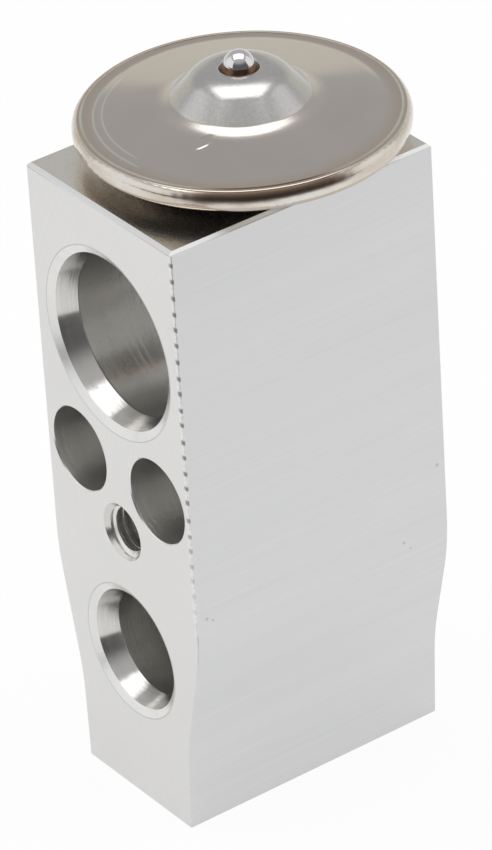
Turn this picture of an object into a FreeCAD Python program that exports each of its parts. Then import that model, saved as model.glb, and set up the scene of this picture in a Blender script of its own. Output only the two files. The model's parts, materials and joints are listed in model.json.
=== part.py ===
"""Block expansion valve for a cooling circuit, in millimetres.

The origin is on the valve's axis, at the block's bottom face. +Z points up to the power head and
-Y out of the port face, towards the pipes of the engine bay; the evaporator's side is +Y.
Every length is a cell of the sheet "Sizes". A Size carries both its number, which places the first
geometry of a sketch, and its formula, which binds the constraint to the sheet.
"""

import FreeCAD
import Part
import math
import os
import Sketcher
from types import SimpleNamespace

SQRT2 = math.sqrt(2)
NEAR = 0.001

LENGTHS = {
    # the block: an extruded profile, cut to length between the port face and the back face
    "block_width": 26.0,
    "port_face": 19.2,
    "back_face": 15.1,
    "left_taper": 3.0,
    "right_taper": 3.2,
    "left_foot_taper": 0.2,
    "right_foot_taper": 0.55,
    "left_taper_top": 26.3,
    "right_taper_top": 24.4,
    "taper_bottom": 11.0,
    "taper_blend": 30.0,
    "edge_bevel": 0.4,
    "edge_break": 0.12,
    # heights, each above or below another feature
    "inlet_height": 18.9,
    "outlet_rise": 10.6,
    "stud_rise": 15.5,
    "bolt_rise": 7.3,
    "suction_rise": 16.5,
    "head_room": 16.7,
    # the suction passage, straight through under the head
    "suction_mouth_radius": 11.05,
    "suction_seat_radius": 10.05,
    "suction_bore_radius": 9.35,
    "mouth_depth": 0.55,
    "seat_depth": 2.85,
    "shoulder_depth": 0.35,
    # the liquid ports: the inlet in front, the outlet behind and higher up
    "liquid_mouth_radius": 7.9,
    "liquid_seat_radius": 7.05,
    "liquid_bore_radius": 5.95,
    "liquid_bore_depth": 10.0,
    "liquid_drill_radius": 4.0,
    "drill_overrun": 2.5,
    # the two through holes for the clamping bolts and the blind tapped hole for the pipe's stud
    "bolt_spacing": 14.2,
    "bolt_hole_radius": 4.9,
    "stud_mouth_radius": 3.4,
    "stud_hole_radius": 2.55,
    "stud_hole_depth": 11.5,
    "stud_drill_point": 1.3,
    # the orifice, the ball's seat and the spring chamber below it
    "orifice_radius": 1.9,
    "seat_drop": 5.1,
    "seat_mouth_radius": 3.2,
    "chamber_radius": 6.2,
    "ball_radius": 3.0,
    "seat_gap": 0.02,
    # the push rod, its bore and its seal
    "rod_radius": 1.25,
    "running_gap": 0.05,
    "rod_overlap": 3.2,
    "pocket_radius": 3.1,
    "pocket_drop": 12.2,
    "retainer_thickness": 0.7,
    "retainer_gap": 0.03,
    "retainer_notch_radius": 0.4,
    # the adjusting screw and its bore
    "screw_thread_radius": 7.0,
    "thread_bore_depth": 6.2,
    "screw_recess": 1.2,
    "screw_thread_length": 3.4,
    "screw_top": 9.8,
    "screw_pilot_radius": 3.2,
    "screw_pilot_height": 1.3,
    "screw_gap": 0.07,
    "hex_across_flats": 6.0,
    "hex_depth": 4.0,
    "seal_groove_floor": 4.7,
    "seal_groove_height": 7.2,
    "seal_groove_width": 1.65,
    "lead_in": 0.5,
    # the coil spring and what it pushes
    "spring_coil_radius": 4.2,
    "spring_wire_radius": 0.5,
    "spring_end_gap": 0.01,
    "spring_closed_gap": 0.03,
    "carrier_drop": 5.0,
    "carrier_flange_radius": 4.9,
    "carrier_flange_thickness": 1.1,
    "carrier_cup_radius": 3.7,
    "carrier_cup_drop": 0.95,
    "carrier_boss_radius": 3.2,
    "carrier_boss_height": 1.2,
    "damper_thickness": 0.25,
    "damper_leg_rise": 3.2,
    "damper_leg_width": 2.2,
    "damper_wall_gap": 0.08,
    # the power head: base, gasket, diaphragm, lid and the ball in its charge hole
    "neck_radius": 10.0,
    "neck_fit": 0.06,
    "neck_bore_depth": 8.5,
    "neck_length": 6.7,
    "neck_bore_radius": 6.3,
    "gasket_thickness": 0.6,
    "gasket_inset": 0.1,
    "base_floor_thickness": 1.05,
    "base_foot_width": 2.4,
    "base_cone_inset": 1.95,
    "base_rim_bottom": 2.0,
    "base_rim_thickness": 1.15,
    "rim_radius": 18.05,
    "rim_round": 0.95,
    "diaphragm_thickness": 0.2,
    "diaphragm_inset": 0.25,
    "ripple_inset": 4.85,
    "ripple_width": 0.9,
    "ripple_height": 0.35,
    "ripple_round": 0.6,
    "lid_flange_thickness": 1.2,
    "lid_ring_inset": 2.65,
    "lid_ring_step": 0.17,
    "lid_ring_width": 0.3,
    "lid_sheet": 1.1,
    "dome_foot_radius": 8.6,
    "dome_foot_rise": 1.3,
    "dome_foot_round": 2.5,
    "dome_shoulder_radius": 4.35,
    "dome_shoulder_rise": 5.1,
    "dome_shoulder_round": 2.0,
    "dome_plateau_radius": 3.4,
    "dome_plateau_rise": 5.15,
    "charge_ball_radius": 1.71,
    "charge_ball_rise": 5.3,
    "charge_hole_radius": 1.2,
    "charge_sink_radius": 2.0,
    "charge_gap": 0.01,
    # the stop plate and the sensing rod
    "valve_travel": 0.7,
    "stop_gap": 0.08,
    "plate_inset": 7.05,
    "plate_edge_round": 0.3,
    "hub_radius": 5.9,
    "hub_depth": 4.1,
    "socket_depth": 4.5,
    "vent_radius": 0.9,
    "sensing_rod_radius": 3.2,
    "sensing_rod_drop": 7.8,
    "rod_fit": 0.02,
}

VENT_COUNT = 4
RETAINER_TEETH = 8
DAMPER_LEGS = 4
HEX_SIDES = 6
SPRING_ACTIVE_HALF_TURNS = 5

# parts of a sheet's thickness by which the corners of the lid's underside lie inside the outer ones
FOOT_MITRE_IN = 0.45
FOOT_MITRE_DOWN = 0.93
SHOULDER_MITRE_IN = 0.35


class Size:
    """A length with its value and the formula that gives it from the sheet."""

    def __init__(self, value, formula):
        self.value = value
        self.formula = formula

    @staticmethod
    def of(number):
        """Take a Size as it is, and make one of a plain number."""
        if isinstance(number, Size):
            return number
        return Size(float(number), repr(float(number)))

    def __add__(self, other):
        other = Size.of(other)
        return Size(self.value + other.value, f"({self.formula} + {other.formula})")

    def __radd__(self, other):
        return Size.of(other) + self

    def __sub__(self, other):
        other = Size.of(other)
        return Size(self.value - other.value, f"({self.formula} - {other.formula})")

    def __rsub__(self, other):
        return Size.of(other) - self

    def __mul__(self, other):
        other = Size.of(other)
        return Size(self.value * other.value, f"({self.formula} * {other.formula})")

    def __rmul__(self, other):
        return self * other

    def __truediv__(self, other):
        other = Size.of(other)
        return Size(self.value / other.value, f"({self.formula} / {other.formula})")

    def __neg__(self):
        return 0 - self


doc = FreeCAD.newDocument("BlockExpansionValve")
sheet = doc.addObject("Spreadsheet::Sheet", "Sizes")
for row, (alias, number) in enumerate(LENGTHS.items(), start=1):
    sheet.set(f"A{row}", alias)
    sheet.set(f"B{row}", str(number))
    sheet.setAlias(f"B{row}", alias)
doc.recompute()
mm = SimpleNamespace(**{alias: Size(number, f"Sizes.{alias}") for alias, number in LENGTHS.items()})

parts = []


def new_body(name):
    """Start a sub-part whose label names its file."""
    body = doc.addObject("PartDesign::Body", name)
    body.Label = name
    parts.append(body)
    return body


def origin_plane(body, role):
    """Find one of a body's own origin planes."""
    return next(item for item in body.Origin.OriginFeatures if item.Role == role)


def new_sketch(body, name, role="XZ_Plane", shift=(0, 0, 0)):
    """Attach a sketch to an origin plane, moved by shift in the plane's own directions."""
    sketch = body.newObject("Sketcher::SketchObject", name)
    sketch.AttachmentSupport = [(origin_plane(body, role), "")]
    sketch.MapMode = "FlatFace"
    for axis, length in zip("xyz", shift):
        length = Size.of(length)
        setattr(sketch.AttachmentOffset.Base, axis, length.value)
        sketch.setExpression(f"AttachmentOffset.Base.{axis}", length.formula)
    return sketch


def fix_point(sketch, geometry, end, x, y):
    """Hold a point of a sketch at x, y by formulas."""
    for kind, line, length in (("DistanceX", -2, x), ("DistanceY", -1, y)):
        if length.value == 0:
            sketch.addConstraint(Sketcher.Constraint("PointOnObject", geometry, end, line))
            continue
        datum = Sketcher.Constraint(kind, -1, 1, geometry, end, length.value)
        index = sketch.addConstraint(datum)
        sketch.setExpression(f"Constraints[{index}]", length.formula)


def outline(sketch, corners):
    """Draw a closed outline through corners (x, y) or (x, y, radius of a rounded corner)."""
    count = len(corners)
    spots = [FreeCAD.Vector(Size.of(c[0]).value, Size.of(c[1]).value, 0) for c in corners]
    rounds = [Size.of(c[2]) if len(c) > 2 else None for c in corners]
    cuts = []
    for i, spot in enumerate(spots):
        before = (spots[i - 1] - spot).normalize()
        after = (spots[(i + 1) % count] - spot).normalize()
        if rounds[i] is None:
            cuts.append((spot, spot, None))
            continue
        half = before.getAngle(after) / 2
        reach = rounds[i].value / math.tan(half)
        centre = spot + (before + after).normalize() * (rounds[i].value / math.sin(half))
        cuts.append((spot + before * reach, spot + after * reach, centre))
    lines = []
    for i in range(count):
        start = cuts[i][1]
        stop = cuts[(i + 1) % count][0]
        lines.append(sketch.addGeometry(Part.LineSegment(start, stop), False))
    for i, (first, last, centre) in enumerate(cuts):
        line_in, line_out = lines[i - 1], lines[i]
        x, y = Size.of(corners[i][0]), Size.of(corners[i][1])
        if centre is None:
            sketch.addConstraint(Sketcher.Constraint("Coincident", line_in, 2, line_out, 1))
            fix_point(sketch, line_out, 1, x, y)
            continue
        corner = sketch.addGeometry(Part.Point(spots[i]), True)
        fix_point(sketch, corner, 1, x, y)
        sketch.addConstraint(Sketcher.Constraint("PointOnObject", corner, 1, line_in))
        sketch.addConstraint(Sketcher.Constraint("PointOnObject", corner, 1, line_out))
        turn = (first - centre).cross(last - centre).z
        begin, end = (first, last) if turn > 0 else (last, first)
        angles = [math.atan2(p.y - centre.y, p.x - centre.x) for p in (begin, end)]
        circle = Part.Circle(centre, FreeCAD.Vector(0, 0, 1), rounds[i].value)
        arc = sketch.addGeometry(Part.ArcOfCircle(circle, *angles), False)
        in_end, out_end = (1, 2) if turn > 0 else (2, 1)
        sketch.addConstraint(Sketcher.Constraint("Tangent", line_in, 2, arc, in_end))
        sketch.addConstraint(Sketcher.Constraint("Tangent", line_out, 1, arc, out_end))
        index = sketch.addConstraint(Sketcher.Constraint("Radius", arc, rounds[i].value))
        sketch.setExpression(f"Constraints[{index}]", rounds[i].formula)


def circle_at(sketch, x, y, radius):
    """Draw a circle held by its centre and radius."""
    x, y, radius = Size.of(x), Size.of(y), Size.of(radius)
    ring = Part.Circle(FreeCAD.Vector(x.value, y.value, 0), FreeCAD.Vector(0, 0, 1), radius.value)
    geometry = sketch.addGeometry(ring, False)
    fix_point(sketch, geometry, 3, x, y)
    index = sketch.addConstraint(Sketcher.Constraint("Radius", geometry, radius.value))
    sketch.setExpression(f"Constraints[{index}]", radius.formula)


def feature(body, kind, name, sketch, **settings):
    """Add a sketch-based feature and set its plain properties."""
    item = body.newObject(f"PartDesign::{kind}", name)
    item.Profile = (sketch, [""])
    for key, value in settings.items():
        setattr(item, key, value)
    sketch.Visibility = False
    return item


def turned(body, name, corners, kind="Revolution"):
    """Turn a profile (radius, height) about the valve's axis."""
    sketch = new_sketch(body, f"{name}_profile")
    outline(sketch, corners)
    return feature(body, kind, name, sketch, ReferenceAxis=(sketch, ["V_Axis"]), Angle=360)


def bored(body, name, corners, height, side=0):
    """Cut a bore with a profile (depth along Y, radius) about an axis along Y at height and side."""
    sketch = new_sketch(body, f"{name}_profile", "YZ_Plane", (0, height, side))
    outline(sketch, corners)
    return feature(body, "Groove", name, sketch, ReferenceAxis=(sketch, ["H_Axis"]), Angle=360)


def bevelled(body, name, size, chosen):
    """Bevel the edges of a body whose box is chosen."""
    doc.recompute()
    edges = [
        f"Edge{number}"
        for number, edge in enumerate(body.Shape.Edges, start=1)
        if chosen(edge.BoundBox)
    ]
    base = body.Tip
    bevel = body.newObject("PartDesign::Chamfer", name)
    bevel.Base = (base, edges)
    bevel.setExpression("Size", size.formula)
    body.Tip = bevel


def removed_volume(body, item):
    """Material that a cutting feature takes away, for the check of its direction."""
    doc.recompute()
    return item.BaseFeature.Shape.Volume - body.Shape.Volume


def ring_of(body, name, cut, sketch, count):
    """Repeat a cut evenly about the valve's axis, once it is known to cut."""
    if removed_volume(body, cut) <= 0:
        raise RuntimeError(f"{cut.Name} cuts nothing")
    pattern = body.newObject("PartDesign::PolarPattern", name)
    pattern.Originals = [cut]
    pattern.Axis = (sketch, ["N_Axis"])
    pattern.Angle = 360
    pattern.Occurrences = count
    body.Tip = pattern


# heights and radii that several pieces share
half_width = mm.block_width / 2
outlet_height = mm.inlet_height + mm.outlet_rise
stud_height = mm.inlet_height + mm.stud_rise
bolt_height = stud_height + mm.bolt_rise
suction_height = bolt_height + mm.suction_rise
block_height = suction_height + mm.head_room
seat_height = outlet_height - mm.seat_drop
pocket_floor = suction_height - mm.pocket_drop
sensing_rod_bottom = suction_height - mm.sensing_rod_drop
neck_bore_floor = block_height - mm.neck_bore_depth
neck_bottom = block_height - mm.neck_length
hub_bottom = block_height - mm.hub_depth
base_foot_radius = mm.neck_radius + mm.base_foot_width
lid_ring_radius = mm.rim_radius - mm.lid_ring_inset
plate_radius = mm.rim_radius - mm.plate_inset
ball_height = seat_height + mm.orifice_radius - SQRT2 * (mm.ball_radius + mm.seat_gap)
ball_top = ball_height + mm.ball_radius
carrier_bottom = ball_height - mm.carrier_drop
spring_top = carrier_bottom - mm.damper_thickness
head_seat = block_height + mm.gasket_thickness
base_floor = head_seat + mm.base_floor_thickness
diaphragm_bottom = block_height + mm.base_rim_bottom + mm.base_rim_thickness
diaphragm_top = diaphragm_bottom + mm.diaphragm_thickness
lid_flange_top = diaphragm_top + mm.lid_flange_thickness
plate_bottom = base_floor + mm.valve_travel + mm.stop_gap
sensing_rod_top = hub_bottom + mm.socket_depth - mm.rod_fit
rod_top = sensing_rod_bottom + mm.rod_overlap
rod_bore_radius = mm.rod_radius + mm.running_gap


def make_valve_block():
    """The extruded block: profile, top bevel, ports, bolt holes and the bores on the axis."""
    body = new_body("valve_block")
    profile = new_sketch(body, "block_profile", "XZ_Plane", (0, 0, mm.port_face))
    left_waist = mm.left_taper - half_width
    right_waist = half_width - mm.right_taper
    outline(profile, [
        (-half_width, block_height),
        (-half_width, mm.left_taper_top, mm.taper_blend),
        (left_waist, mm.taper_bottom, mm.taper_blend),
        (left_waist + mm.left_foot_taper, 0),
        (right_waist - mm.right_foot_taper, 0),
        (right_waist, mm.taper_bottom, mm.taper_blend),
        (half_width, mm.right_taper_top, mm.taper_blend),
        (half_width, block_height),
    ])
    pad = feature(body, "Pad", "block_length", profile, Reversed=True)
    pad.setExpression("Length", (mm.port_face + mm.back_face).formula)
    front = -mm.port_face
    back = mm.back_face
    bevelled(body, "top_bevel", mm.edge_bevel, lambda box: box.ZMin > block_height.value - NEAR)
    bevelled(body, "edge_breaks", mm.edge_break, lambda box: (
        box.ZMax < NEAR or box.YMax < front.value + NEAR or box.YMin > back.value - NEAR
    ))

    seat_end = mm.seat_depth + mm.shoulder_depth
    suction = bored(body, "suction_passage", [
        (front, 0),
        (front, mm.suction_mouth_radius),
        (front + mm.mouth_depth, mm.suction_seat_radius),
        (front + mm.seat_depth, mm.suction_seat_radius),
        (front + seat_end, mm.suction_bore_radius),
        (back - seat_end, mm.suction_bore_radius),
        (back - mm.seat_depth, mm.suction_seat_radius),
        (back - mm.mouth_depth, mm.suction_seat_radius),
        (back, mm.suction_mouth_radius),
        (back, 0),
    ], suction_height)
    cuts = [(suction, removed_volume(body, suction))]
    for name, face, inward, height in (
        ("liquid_inlet", front, 1, mm.inlet_height),
        ("liquid_outlet", back, -1, outlet_height),
    ):
        port = bored(body, name, [
            (face, 0),
            (face, mm.liquid_mouth_radius),
            (face + inward * mm.mouth_depth, mm.liquid_seat_radius),
            (face + inward * mm.seat_depth, mm.liquid_seat_radius),
            (face + inward * seat_end, mm.liquid_bore_radius),
            (face + inward * mm.liquid_bore_depth, mm.liquid_bore_radius),
            (face + inward * mm.liquid_bore_depth, mm.liquid_drill_radius),
            (-mm.drill_overrun, mm.liquid_drill_radius),
            (-mm.drill_overrun, 0),
        ], height)
        cuts.append((port, removed_volume(body, port)))

    sink = mm.stud_mouth_radius - mm.stud_hole_radius
    stud = bored(body, "stud_hole", [
        (front, 0),
        (front, mm.stud_mouth_radius),
        (front + sink, mm.stud_hole_radius),
        (front + mm.stud_hole_depth, mm.stud_hole_radius),
        (front + mm.stud_hole_depth + mm.stud_drill_point, 0),
    ], stud_height)
    cuts.append((stud, removed_volume(body, stud)))

    for name, side in (("left_bolt_hole", -mm.bolt_spacing / 2), ("right_bolt_hole", mm.bolt_spacing / 2)):
        bolt = bored(body, name, [
            (front, 0),
            (front, mm.bolt_hole_radius + mm.edge_break),
            (front + mm.edge_break, mm.bolt_hole_radius),
            (back - mm.edge_break, mm.bolt_hole_radius),
            (back, mm.bolt_hole_radius + mm.edge_break),
            (back, 0),
        ], bolt_height, side)
        cuts.append((bolt, removed_volume(body, bolt)))

    ceiling = seat_height - (mm.seat_mouth_radius - mm.orifice_radius)
    chamber = turned(body, "valve_chamber", [
        (0, 0),
        (mm.screw_thread_radius + mm.lead_in, 0),
        (mm.screw_thread_radius, mm.lead_in),
        (mm.screw_thread_radius, mm.thread_bore_depth),
        (mm.chamber_radius, mm.thread_bore_depth),
        (mm.chamber_radius, ceiling),
        (mm.seat_mouth_radius, ceiling),
        (mm.orifice_radius, seat_height),
        (mm.orifice_radius, outlet_height),
        (0, outlet_height),
    ], "Groove")
    cuts.append((chamber, removed_volume(body, chamber)))

    neck_room = mm.neck_radius + mm.lead_in
    head_bore = turned(body, "head_bore", [
        (0, neck_bore_floor),
        (mm.neck_radius, neck_bore_floor),
        (mm.neck_radius, block_height - mm.lead_in),
        (neck_room, block_height),
        (0, block_height),
    ], "Groove")
    cuts.append((head_bore, removed_volume(body, head_bore)))

    rod_bore = turned(body, "rod_bore", [
        (0, outlet_height),
        (rod_bore_radius, outlet_height),
        (rod_bore_radius, pocket_floor),
        (mm.pocket_radius, pocket_floor),
        (mm.pocket_radius, suction_height),
        (0, suction_height),
    ], "Groove")
    cuts.append((rod_bore, removed_volume(body, rod_bore)))
    for item, volume in cuts:
        if volume <= 0:
            raise RuntimeError(f"{item.Name} cuts nothing")


def make_head_base():
    """The lower cup of the head: threaded neck, floor, cone and the rim that is welded to the lid."""
    body = new_body("head_base")
    neck = mm.neck_radius - mm.neck_fit
    rim_bottom = block_height + mm.base_rim_bottom
    cone = mm.rim_radius - mm.base_cone_inset
    turned(body, "base_form", [
        (mm.neck_bore_radius, neck_bottom),
        (neck - mm.lead_in, neck_bottom),
        (neck, neck_bottom + mm.lead_in),
        (neck, head_seat),
        (base_foot_radius, head_seat),
        (cone, rim_bottom),
        (mm.rim_radius, rim_bottom, mm.rim_round),
        (mm.rim_radius, diaphragm_bottom),
        (cone - mm.base_floor_thickness / 2, diaphragm_bottom),
        (base_foot_radius - mm.base_floor_thickness / 2, base_floor),
        (mm.neck_bore_radius, base_floor),
    ])


def make_head_gasket():
    """The flat ring between the cup's floor and the block's top."""
    body = new_body("head_gasket")
    turned(body, "gasket_ring", [
        (mm.neck_radius + mm.lead_in, block_height),
        (base_foot_radius - mm.gasket_inset, block_height),
        (base_foot_radius - mm.gasket_inset, head_seat),
        (mm.neck_radius + mm.lead_in, head_seat),
    ])


def make_diaphragm():
    """The thin sheet of the head, with one ring-shaped ripple outside the stop plate."""
    body = new_body("diaphragm")
    edge = mm.rim_radius - mm.diaphragm_inset
    middle = mm.rim_radius - mm.ripple_inset
    near = middle - mm.ripple_width
    far = middle + mm.ripple_width
    low = diaphragm_bottom - mm.ripple_height
    inside = mm.ripple_round
    outside = mm.ripple_round + mm.diaphragm_thickness
    turned(body, "diaphragm_sheet", [
        (0, diaphragm_bottom),
        (near, diaphragm_bottom, inside),
        (middle, low, outside),
        (far, diaphragm_bottom, inside),
        (edge, diaphragm_bottom),
        (edge, diaphragm_top),
        (far, diaphragm_top, outside),
        (middle, low + mm.diaphragm_thickness, inside),
        (near, diaphragm_top, outside),
        (0, diaphragm_top),
    ])


def make_head_lid():
    """The stamped dish on top: flange, ring step, sloping plate, dome, and the sunk charge hole."""
    body = new_body("head_lid")
    ring_top = lid_flange_top + mm.lid_ring_step
    ring_inner = lid_ring_radius - mm.lid_ring_width
    foot = lid_flange_top + mm.dome_foot_rise
    shoulder = lid_flange_top + mm.dome_shoulder_rise
    plateau = lid_flange_top + mm.dome_plateau_rise
    ball_centre = lid_flange_top + mm.charge_ball_rise
    cone_tip = ball_centre - SQRT2 * (mm.charge_ball_radius + mm.charge_gap)
    ceiling = shoulder - mm.lid_sheet
    turned(body, "lid_form", [
        (mm.charge_hole_radius, cone_tip + mm.charge_hole_radius),
        (mm.charge_hole_radius, ceiling),
        (mm.dome_shoulder_radius - SHOULDER_MITRE_IN * mm.lid_sheet, ceiling),
        (mm.dome_foot_radius - FOOT_MITRE_IN * mm.lid_sheet, foot - FOOT_MITRE_DOWN * mm.lid_sheet),
        (ring_inner, ring_top - mm.lid_sheet),
        (lid_ring_radius, diaphragm_top),
        (mm.rim_radius, diaphragm_top),
        (mm.rim_radius, lid_flange_top, mm.rim_round),
        (lid_ring_radius, lid_flange_top),
        (ring_inner, ring_top),
        (mm.dome_foot_radius, foot, mm.dome_foot_round),
        (mm.dome_shoulder_radius, shoulder, mm.dome_shoulder_round),
        (mm.dome_plateau_radius, plateau),
        (mm.charge_sink_radius, cone_tip + mm.charge_sink_radius),
    ])


def make_charge_ball():
    """The ball in the charge hole, more than half of it standing proud."""
    ball = doc.addObject("Part::Sphere", "charge_ball")
    ball.Label = "charge_ball"
    ball.setExpression("Radius", mm.charge_ball_radius.formula)
    ball.setExpression("Placement.Base.z", (lid_flange_top + mm.charge_ball_rise).formula)
    parts.append(ball)


def make_diaphragm_plate():
    """The stop plate: a disc under the diaphragm with vents, on a hub that slides in the neck."""
    body = new_body("diaphragm_plate")
    socket = mm.sensing_rod_radius + mm.rod_fit
    turned(body, "plate_form", [
        (0, hub_bottom + mm.socket_depth),
        (socket, hub_bottom + mm.socket_depth),
        (socket, hub_bottom),
        (mm.hub_radius, hub_bottom),
        (mm.hub_radius, plate_bottom),
        (plate_radius, plate_bottom),
        (plate_radius, diaphragm_bottom, mm.plate_edge_round),
        (0, diaphragm_bottom),
    ])
    doc.recompute()
    vent = new_sketch(body, "vent_circle", "XY_Plane", (0, 0, plate_bottom))
    circle_at(vent, (mm.hub_radius + plate_radius) / 2, 0, mm.vent_radius)
    drilled = feature(body, "Pocket", "vent", vent, Type="ThroughAll", SideType="Symmetric")
    ring_of(body, "vents", drilled, vent, VENT_COUNT)


def make_sensing_rod():
    """The aluminium rod across the suction passage, with a blind hole for the push rod."""
    body = new_body("sensing_rod")
    hole = mm.rod_radius + mm.rod_fit
    bevel = mm.lead_in
    turned(body, "sensing_rod_form", [
        (0, rod_top + mm.rod_fit),
        (hole, rod_top + mm.rod_fit),
        (hole, sensing_rod_bottom),
        (mm.sensing_rod_radius - bevel, sensing_rod_bottom),
        (mm.sensing_rod_radius, sensing_rod_bottom + bevel),
        (mm.sensing_rod_radius, sensing_rod_top - bevel),
        (mm.sensing_rod_radius - bevel, sensing_rod_top),
        (0, sensing_rod_top),
    ])


def make_push_rod():
    """The steel rod from the sensing rod's hole down through the orifice to the ball."""
    body = new_body("push_rod")
    turned(body, "push_rod_form", [
        (0, ball_top),
        (mm.rod_radius, ball_top),
        (mm.rod_radius, rod_top),
        (0, rod_top),
    ])


def make_rod_seal():
    """The O-ring round the push rod, filling its pocket from wall to rod."""
    seal = doc.addObject("Part::Torus", "rod_seal")
    seal.Label = "rod_seal"
    section = (mm.pocket_radius - rod_bore_radius) / 2
    seal.setExpression("Radius1", ((mm.pocket_radius + rod_bore_radius) / 2).formula)
    seal.setExpression("Radius2", section.formula)
    seal.setExpression("Placement.Base.z", (pocket_floor + section).formula)
    parts.append(seal)


def make_seal_retainer():
    """The thin ring with inner teeth that is pushed into the pocket above the O-ring."""
    body = new_body("seal_retainer")
    bottom = pocket_floor + mm.pocket_radius - rod_bore_radius + mm.retainer_gap
    top = bottom + mm.retainer_thickness
    inner = (mm.pocket_radius + rod_bore_radius) / 2
    turned(body, "retainer_ring", [
        (inner, bottom),
        (mm.pocket_radius, bottom),
        (mm.pocket_radius, top),
        (inner, top),
    ])
    doc.recompute()
    slot = new_sketch(body, "retainer_slot", "XY_Plane", (0, 0, bottom))
    circle_at(slot, inner, 0, mm.retainer_notch_radius)
    notch = feature(body, "Pocket", "retainer_notch", slot, Type="ThroughAll", SideType="Symmetric")
    ring_of(body, "retainer_teeth", notch, slot, RETAINER_TEETH)


def make_valve_ball():
    """The ball that closes the orifice."""
    ball = doc.addObject("Part::Sphere", "valve_ball")
    ball.Label = "valve_ball"
    ball.setExpression("Radius", mm.ball_radius.formula)
    ball.setExpression("Placement.Base.z", ball_height.formula)
    parts.append(ball)


def make_ball_carrier():
    """The cup under the ball: flange for the spring, boss inside the coil, hollow for the ball."""
    body = new_body("ball_carrier")
    flange_top = carrier_bottom + mm.carrier_flange_thickness
    cup_top = ball_height - mm.carrier_cup_drop
    turned(body, "carrier_form", [
        (0, carrier_bottom - mm.carrier_boss_height),
        (mm.carrier_boss_radius, carrier_bottom - mm.carrier_boss_height),
        (mm.carrier_boss_radius, carrier_bottom),
        (mm.carrier_flange_radius, carrier_bottom),
        (mm.carrier_flange_radius, flange_top),
        (mm.carrier_cup_radius, flange_top),
        (mm.carrier_cup_radius, cup_top),
        (0, cup_top),
    ])
    hollow = body.newObject("PartDesign::SubtractiveSphere", "ball_hollow")
    hollow.setExpression("Radius", (mm.ball_radius + mm.rod_fit).formula)
    hollow.AttachmentSupport = [(origin_plane(body, "XY_Plane"), "")]
    hollow.MapMode = "FlatFace"
    hollow.setExpression("AttachmentOffset.Base.z", ball_height.formula)
    body.Tip = hollow


def make_damping_spring():
    """The leaf spring ring under the carrier, with four legs that rub on the chamber's wall."""
    body = new_body("damping_spring")
    thickness = mm.damper_thickness
    bend = mm.carrier_flange_radius + thickness
    tip = mm.chamber_radius - mm.damper_wall_gap
    tip_height = spring_top + mm.damper_leg_rise
    inner = mm.carrier_boss_radius + mm.running_gap
    turned(body, "damper_form", [
        (inner, spring_top),
        (bend, spring_top),
        (tip, tip_height),
        (tip - thickness, tip_height),
        (bend - thickness / 2, spring_top + thickness),
        (inner, spring_top + thickness),
    ])
    doc.recompute()
    gap = new_sketch(body, "damper_gap", "XY_Plane", (0, 0, spring_top + thickness))
    near = mm.damper_leg_width / 2
    far = mm.chamber_radius
    outline(gap, [
        (near, near),
        (far, near),
        (far, far),
        (near, far),
    ])
    cut = feature(body, "Pocket", "damper_window", gap, Type="Length", Reversed=True)
    cut.setExpression("Length", (mm.damper_leg_rise + thickness).formula)
    ring_of(body, "damper_windows", cut, gap, DAMPER_LEGS)


def make_valve_spring():
    """The coil spring between the screw's shoulder and the carrier, with closed ends.

    Each half turn is part of a tilted ring, so that the next one goes on without a kink: the first
    and the last lie flat, their neighbours climb just over them, and the rest share what is left.
    """
    bottom = mm.screw_top + mm.spring_wire_radius + mm.spring_end_gap
    rise = spring_top - mm.spring_wire_radius - mm.spring_end_gap - bottom
    closing = 2 * mm.spring_wire_radius + mm.spring_closed_gap
    active = (rise - 2 * closing) / SPRING_ACTIVE_HALF_TURNS
    level = Size.of(0)
    climbs = [level, closing, *[active] * SPRING_ACTIVE_HALF_TURNS, closing, level]
    coils = []
    height = bottom
    for number, climb in enumerate(climbs):
        side = 1 if number % 2 == 0 else -1
        wire = doc.addObject("Part::Circle", f"spring_wire_{number}")
        wire.setExpression("Radius", mm.spring_wire_radius.formula)
        wire.Placement.Rotation = FreeCAD.Rotation(FreeCAD.Vector(1, 0, 0), 90)
        wire.setExpression("Placement.Base.x", (side * mm.spring_coil_radius).formula)
        wire.setExpression("Placement.Base.z", height.formula)
        coil = doc.addObject("Part::Revolution", f"spring_half_turn_{number}")
        coil.Source = wire
        coil.Solid = True
        coil.Angle = 180
        coil.setExpression("Base.z", (height + climb / 2).formula)
        coil.setExpression("Axis.x", (side * climb / 2).formula)
        coil.setExpression("Axis.z", mm.spring_coil_radius.formula)
        coils.append(coil)
        height = height + climb
    spring = doc.addObject("Part::MultiFuse", "valve_spring")
    spring.Label = "valve_spring"
    spring.Shapes = coils
    parts.append(spring)


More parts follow.
